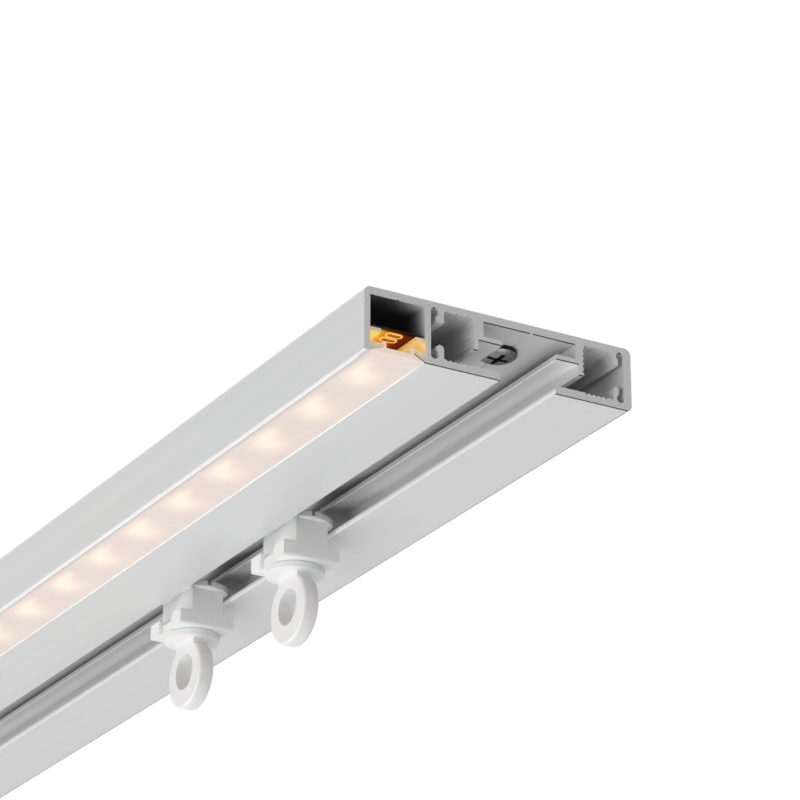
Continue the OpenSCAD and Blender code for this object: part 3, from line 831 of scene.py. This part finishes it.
def channel_skin_of(face, across, above):
    """The finish inside the channel and outside it: pockets, ceiling, foot, the corner painted dark."""
    inside = FLANGE_TOP - TEETH_DEPTH < above < CHANNEL_TOP + TEETH_DEPTH
    in_pocket = any(low < across < high for low, high in (LEFT_POCKET, RIGHT_POCKET))
    if inside and in_pocket:
        return POCKET
    in_guide = GUIDE[0] < across < GUIDE[1] and above > CHANNEL_TOP + SECTION_HAIR / 2
    in_corner = across > LOWER_CORNER[0] and SECTION_HAIR / 4 < above < LOWER_CORNER[1]
    in_corner = in_corner and face.normal.z < -CORNER_TURN
    # The right corner and the drill guide get the skin painted dark
    if in_corner or in_guide:
        return CORNER if in_corner else GROOVE
    looks_down = face.normal.z < -SQUARE_ON
    if looks_down and across < RIGHT_LEG and abs(above - CHANNEL_TOP) < SECTION_HAIR:
        return DEEP
    on_foot = RIGHT_FOOT[0] < across < RIGHT_FOOT[1] and abs(above - FOOT_UNDER) < SECTION_HAIR
    return FOOT_GLOW if on_foot and looks_down else SKIN


def runs_along(edge):
    """Whether an edge runs the whole length of the track."""
    return abs(edge.verts[0].co.y - edge.verts[1].co.y) > SQUARE_ON * TRACK_LENGTH


def face_width(face):
    """The width of a face that runs the whole length of the track."""
    return face.calc_area() / TRACK_LENGTH


def at_an_end(edge):
    """Whether an edge lies in one of the sawn ends."""
    return all(FAR_END - abs(v.co.y) < CUT_EASE / 4 for v in edge.verts)


def chamfer_cuts(mesh):
    """A fine chamfer round both sawn ends."""
    for face in soften(mesh, [e for e in mesh.edges if at_an_end(e)], CUT_EASE, 1):
        face.material_index = SAWN


def ease_long_edges(mesh):
    """Rounds the long edges between broad faces above the underside."""
    edges = [e for e in sharp_edges(mesh, LONG_EDGE_ANGLE)
             if runs_along(e) and min(face_width(f) for f in e.link_faces) > NARROW_FACE
             and section_place(e.verts[0].co)[1] > SECTION_HAIR * 6]
    soften(mesh, edges, INNER_EASE)


def band_the_cuts(mesh):
    """A narrow near-black band painted on the faces that look down, at both ends."""
    for end in (NEAR_END + CUT_BAND_WIDTH, FAR_END - CUT_BAND_WIDTH):
        bmesh.ops.bisect_plane(mesh, geom=mesh.verts[:] + mesh.edges[:] + mesh.faces[:],
                               plane_co=(0, end, 0), plane_no=(0, 1, 0))
    for face in mesh.faces:
        middle = face.calc_center_median()
        near_a_cut = FAR_END - abs(middle.y) < CUT_BAND_WIDTH
        on_right_lip = face.material_index == LIP and middle.x > BAY_MID
        banded = on_right_lip or face.material_index in CUT_BANDED
        if near_a_cut and face.normal.z < -LOOKS_DOWN and banded:
            face.material_index = CUT_BAND


def extrusion():
    """The profile, with its long edges eased and its ends sawn."""
    mesh = merged_copy("track_profile")
    for face in mesh.faces:
        face.material_index = skin_of(face)
    chamfer_cuts(mesh)
    ease_long_edges(mesh)
    band_the_cuts(mesh)
    smooth_rounds(mesh)
    finished(mesh, "extrusion", "track", ["track_profile"], "profile_aluminium",
             anodised_aluminium(), sawn_aluminium(), painted_edge_highlight(), dark_cut_band(),
             chamber_painted_shade("chamber_painted_shade", LEFT_MOUTH_LIGHT), bay_skin(), lip_skin(), deep_skin(),
             pocket_skin(), foot_glow_skin(), dark_painted_skin("corner_painted_dark", 0.2),
             dark_painted_skin("groove_painted_dark", 0.58), chamber_painted_shade("notch_painted_shade", NOTCH_MOUTH_LIGHT))


def solder_pads():
    """Oval pads, each with a raised rim of solder round a dull middle."""
    mesh = bmesh.new()
    half_straight = (PADS_HIGH.x - PADS_LOW.x - PAD_ROUND) / 2
    middle_x = (PADS_LOW.x + PADS_HIGH.x) / 2
    first_y = PADS_LOW.y + PAD_ROUND / 2
    for group in range(PAD_GROUPS):
        for pad in range(2):
            y = first_y + group * LEDS_PER_GROUP * LED_PITCH + pad * PAD_GAP
            solder_pad(mesh, Vector((middle_x, y, PADS_HIGH.z)), half_straight)
    bmesh.ops.recalc_face_normals(mesh, faces=mesh.faces)
    smooth_rounds(mesh, PAD_ROUND_ANGLE)
    finished(mesh, "solder_pads", "track", ["led_solder_pads"], "solder_copper",
             pad_rim(), pad_copper())


def solder_pad(mesh, place, half_straight):
    """One pad under a point of the board: an oval plate, then its rim."""
    disc = bmesh.ops.create_circle(mesh, cap_ends=True, segments=PAD_SEGMENTS,
                                   radius=PAD_ROUND / 2)
    for vert in disc["verts"]:
        vert.co.x += math.copysign(half_straight, vert.co.x)
        vert.co += place
    top = disc["verts"][0].link_faces[0]
    made = bmesh.ops.extrude_face_region(mesh, geom=[top], use_keep_orig=True)
    verts = [v for v in made["geom"] if isinstance(v, bmesh.types.BMVert)]
    bmesh.ops.translate(mesh, verts=verts, vec=(0, 0, -PAD_BODY))
    middle = next(f for f in made["geom"] if isinstance(f, bmesh.types.BMFace))
    middle.material_index = 1
    ring = bmesh.ops.inset_region(mesh, faces=[middle], thickness=PAD_ROUND * PAD_RIM_SHARE,
                                  use_even_offset=True)["faces"]
    for face in ring:
        face.material_index = 0
    crest = extruded(mesh, ring, (0, 0, -PAD_RIM))
    soften(mesh, list({e for f in crest for e in f.edges if e.is_manifold
                       and e.calc_face_angle(0.0) > 1.0}), PAD_RIM * 0.3, 1)


def screw_places():
    """The middles of the ceiling screws, at the height of the ceiling face."""
    first = SCREWS_LOW.y + HEAD_RADIUS
    step = (SCREWS_HIGH.y - HEAD_RADIUS - first) / (SCREW_COUNT - 1)
    middle = (SCREWS_LOW.x + SCREWS_HIGH.x) / 2
    return [Vector((middle, first + i * step, 0.0)) for i in range(SCREW_COUNT)]


def screw_heads():
    """The heads with their cross recess, cut from the CAD shape at the ceiling face."""
    mesh = merged_copy("ceiling_screws")
    bmesh.ops.bisect_plane(mesh, geom=mesh.verts[:] + mesh.edges[:] + mesh.faces[:],
                           plane_co=(0, 0, SHANK_FOOT / 2), plane_no=(0, 0, 1), clear_outer=True)
    bmesh.ops.holes_fill(mesh, edges=[e for e in mesh.edges if e.is_boundary])
    places = screw_places()
    for face in mesh.faces:
        face.material_index = head_skin(face, places)
    smooth_rounds(mesh, SCREW_ROUND_ANGLE)
    finished(mesh, "screw_heads", "track", ["ceiling_screws"], "screw_steel",
             zinc_steel(), dark_flank(), recess_black())


def head_skin(face, places):
    """Zinc on a head's face, dark on its flank, black inside its cross."""
    middle = face.calc_center_median()
    out = min((Vector((middle.x, middle.y, 0)) - place).length for place in places)
    upright = abs(face.normal.z) < 0.5
    if upright and out > HEAD_RADIUS * FLANK_FROM:
        return 1
    inside = out < HEAD_RADIUS * CROSS_TO
    deep = middle.z > SCREWS_LOW.z + HEAD_HEIGHT * FACE_TO
    return 2 if inside and (deep or upright) else 0


def threaded_shanks():
    """The shanks above the ceiling face: a coarse thread and a blunt tip, spun from an outline."""
    mesh = bmesh.new()
    root = SHANK_RADIUS - THREAD_DEPTH
    turns = int((SCREWS_HIGH.z - SHANK_FOOT - THREAD_PITCH / 2) / THREAD_PITCH)
    outline = [(0.0, SHANK_FOOT / 2), (root * FOOT_TAPER, SHANK_FOOT / 2), (root, SHANK_FOOT)]
    for turn in range(turns):
        foot = SHANK_FOOT + turn * THREAD_PITCH
        outline += [(SHANK_RADIUS, foot + THREAD_PITCH * share) for share in THREAD_CREST]
        outline.append((root, foot + THREAD_PITCH))
    outline += [(root * TIP_TAPER, SCREWS_HIGH.z), (0.0, SCREWS_HIGH.z)]
    for place in screw_places():
        verts = [mesh.verts.new((place.x + r, place.y, z)) for r, z in outline]
        edges = [mesh.edges.new(pair) for pair in zip(verts, verts[1:])]
        bmesh.ops.spin(mesh, geom=verts + edges, cent=place, axis=(0, 0, 1), dvec=(0, 0, 0),
                       angle=math.tau, steps=SPIN_STEPS, use_merge=True, use_duplicate=False)
    bmesh.ops.remove_doubles(mesh, verts=mesh.verts, dist=SAME_PLACE)
    bmesh.ops.recalc_face_normals(mesh, faces=mesh.faces)
    smooth_rounds(mesh)
    finished(mesh, "threaded_shanks", "track", [], "screw_steel", zinc_steel())


def small_blocks(name, slot, material, size, places):
    """Rounded blocks of one size that hang under the board, one at each place."""
    mesh = bmesh.new()
    for x, y in places:
        block = bmesh.ops.create_cube(mesh, size=1.0)["verts"]
        bmesh.ops.scale(mesh, vec=size, verts=block)
        bmesh.ops.translate(mesh, vec=(x, y, STRIP_UNDER - size[2] / 2), verts=block)
    soften(mesh, mesh.edges[:], min(size) * 0.2, 1)
    finished(mesh, name, "track", [], slot, material)


def strip_metal():
    """The LEDs' leads and the resistors' tinned ends."""
    tin = tinned_ends()
    first = NEAR_END + FIRST_LED
    side = (LED_WIDTH + LEAD_SIZE[0]) / 2
    leads = [(BAY_MID + s * side, first + i * LED_PITCH)
             for i in range(LED_COUNT) for s in (-1, 1)]
    small_blocks("led_leads", "solder_copper", tin, LEAD_SIZE, leads)
    cap = (RESISTOR_WIDTH + 2 * CAP_PROUD, CAP_LENGTH, RESISTOR_HEIGHT + CAP_PROUD)
    end = (RESISTOR_LENGTH - CAP_LENGTH) / 2 + CAP_PROUD
    caps = [(BAY_MID, first + (i + 0.5) * LED_PITCH + s * end)
            for i in range(0, LED_COUNT - 1, LEDS_PER_GROUP) for s in (-1, 1)]
    small_blocks("resistor_ends", "solder_copper", tin, cap, caps)


def softened_part(node, name, body, slot, width, skin):
    """A moulded part: the CAD shape with its sharp edges eased."""
    mesh = merged_copy(node)
    soften(mesh, sharp_edges(mesh), width)
    smooth_rounds(mesh)
    finished(mesh, name, body, [node], slot, skin)


def slide_disc(node, name, body, rim_skin, under_skin):
    """The disc with its edges eased, its slits closed at the foot, its rim painted a shade darker and its
    underside painted lighter, as shaded and lit copies of one white.
    """
    mesh = merged_copy(node)
    soften(mesh, sharp_edges(mesh), DISC_EASE)
    low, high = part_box(node)
    middle = (low + high) / 2
    for side in (-1, 1):
        slit_foot(mesh, middle, low.z, side * (high.y - low.y) / 2)
    bmesh.ops.recalc_face_normals(mesh, faces=mesh.faces)
    smooth_rounds(mesh)
    for face in mesh.faces:
        face.material_index = 1 if face.normal.z < -LOOKS_DOWN else 0
    finished(mesh, name, body, [node], "disc_plastic", rim_skin, under_skin)


def slit_foot(mesh, middle, foot, rim):
    """The web that closes a slit's lower part, sloped like the rim's chamfer."""
    outer = middle.y + rim - math.copysign(SLIT_INSET, rim)
    inner = outer - math.copysign(SLIT_LENGTH, rim)
    block = bmesh.ops.create_cube(mesh, size=1.0)["verts"]
    for vert in block:
        at_rim = vert.co.y * rim > 0
        at_foot = vert.co.z < 0
        slope = math.copysign(SLIT_SLOPE, rim) if at_rim and at_foot else 0.0
        vert.co = Vector((middle.x + vert.co.x * SLIT_WIDTH,
                          (outer if at_rim else inner) - slope,
                          foot if at_foot else foot + SLIT_WEB))


# Stage

def seen_rays(tree):
    """An output that is 1 for rays from the camera, off gloss and through glass, else 0."""
    path = tree.nodes.new("ShaderNodeLightPath")
    clear = tree.nodes.new("ShaderNodeMath")
    clear.operation = "MAXIMUM"
    tree.links.new(path.outputs["Is Camera Ray"], clear.inputs[0])
    tree.links.new(path.outputs["Is Transmission Ray"], clear.inputs[1])
    seen = tree.nodes.new("ShaderNodeMath")
    seen.operation = "MAXIMUM"
    tree.links.new(clear.outputs[0], seen.inputs[0])
    tree.links.new(path.outputs["Is Glossy Ray"], seen.inputs[1])
    return seen.outputs[0]


def build_floor():
    """A plain pale floor, a storey below the ceiling."""
    mesh = bmesh.new()
    bmesh.ops.create_grid(mesh, x_segments=1, y_segments=1, size=FLOOR_SIZE / 2,
                          matrix=Matrix.Translation((0, 0, -FLOOR_DROP)))
    data = bpy.data.meshes.new("floor")
    mesh.to_mesh(data)
    mesh.free()
    floor = bpy.data.objects.new("floor", data)
    bpy.context.scene.collection.objects.link(floor)
    finish = Finish("floor_paint").set(Roughness=0.8)
    paint = finish.ramp(finish.noise(3.0), (0.3, grey(0.75)), (0.7, grey(0.765)))
    finish.colour(paint)
    finish.shine(paint, 0.0)
    lift = finish.math("MULTIPLY", seen_rays(finish.tree), FLOOR_LIFT)
    finish.link(lift, finish.shader.inputs["Emission Strength"])
    data.materials.append(finish.material)


def white_room():
    """White to the camera, to gloss and through glass, and a grey fill to everything else."""
    world = bpy.data.worlds.new("white_room")
    bpy.context.scene.world = world
    world.use_nodes = True
    tree = world.node_tree
    tree.nodes.clear()
    fill = tree.nodes.new("ShaderNodeBackground")
    fill.inputs["Color"].default_value = WHITE
    fill.inputs["Strength"].default_value = FILL_LEVEL
    white = tree.nodes.new("ShaderNodeBackground")
    white.inputs["Color"].default_value = WHITE
    white.inputs["Strength"].default_value = 1.0
    mix = tree.nodes.new("ShaderNodeMixShader")
    tree.links.new(seen_rays(tree), mix.inputs["Fac"])
    tree.links.new(fill.outputs[0], mix.inputs[1])
    tree.links.new(white.outputs[0], mix.inputs[2])
    out = tree.nodes.new("ShaderNodeOutputWorld")
    tree.links.new(mix.outputs[0], out.inputs["Surface"])


def soft_lamp(name, place, size, watts):
    """A large square lamp, out of the camera's sight and turned to the track."""
    light = bpy.data.lights.new(name, "AREA")
    light.shape = "SQUARE"
    light.size = size
    light.energy = watts
    lamp = bpy.data.objects.new(name, light)
    lamp.location = place
    aim = Vector(LIT_POINT) - Vector(place)
    lamp.rotation_euler = aim.to_track_quat("-Z", "Y").to_euler()
    lamp.visible_camera = False
    bpy.context.scene.collection.objects.link(lamp)


def place_camera():
    """The photograph's camera: below the ceiling, in front and to the left, looking up."""
    data = bpy.data.cameras.new("camera")
    data.lens = CAMERA_LENS
    data.sensor_width = SENSOR_WIDTH
    camera = bpy.data.objects.new("camera", data)
    camera.location = CAMERA_PLACE
    camera.rotation_euler = (math.radians(90 + CAMERA_PITCH), 0, math.radians(-CAMERA_YAW))
    bpy.context.scene.collection.objects.link(camera)
    bpy.context.scene.camera = camera


def light_the_scene():
    """Big soft lamps from below, from the left and from the near side, and one on top."""
    for name, place, size, watts in LAMPS:
        soft_lamp(name, place, size, watts)


def dress_track():
    """The pieces that stay with the ceiling."""
    extrusion()
    repaint("led_diffuser", lit_opal())
    repaint("led_board", strip_amber())
    repaint("led_backing_tape", adhesive_tape())
    repaint("led_packages", lamp_housing())
    repaint("led_phosphor", lit_phosphor())
    repaint("led_resistors", resistor_glaze())
    solder_pads()
    strip_metal()
    screw_heads()
    threaded_shanks()


def dress_glider(number, moulded, disc_rim, disc_under, eye_skin):
    """One glider: its body and disc slide along the slot, and its eye turns under it."""
    body = f"glider_{number}"
    softened_part(f"glider_{number}_body", f"glider_{number}_moulding", body,
                  "glider_plastic", MOULDED_EASE, moulded)
    slide_disc(f"glider_{number}_disc", f"glider_{number}_slide_disc", body, disc_rim, disc_under)
    softened_part(f"glider_{number}_eye", f"glider_{number}_swivel_eye", f"eye_{number}",
                  "eye_plastic", MOULDED_EASE, eye_skin)


bpy.context.scene.view_settings.view_transform = "Standard"
place_camera()
white_room()
build_floor()
light_the_scene()
dress_track()
# Shaded and lit copies of one white: the disc's rim painted darker, its underside painted lighter
body_white = acetal("body_white", 0.86, 0.38)
disc_rim_shaded = acetal("disc_rim_shaded", 0.74, 0.5)
disc_under_lit = acetal("disc_under_lit", 0.90, 0.4)
eye_white = acetal("eye_white", 0.86, 0.34)
for glider in (1, 2):
    dress_glider(glider, body_white, disc_rim_shaded, disc_under_lit, eye_white)
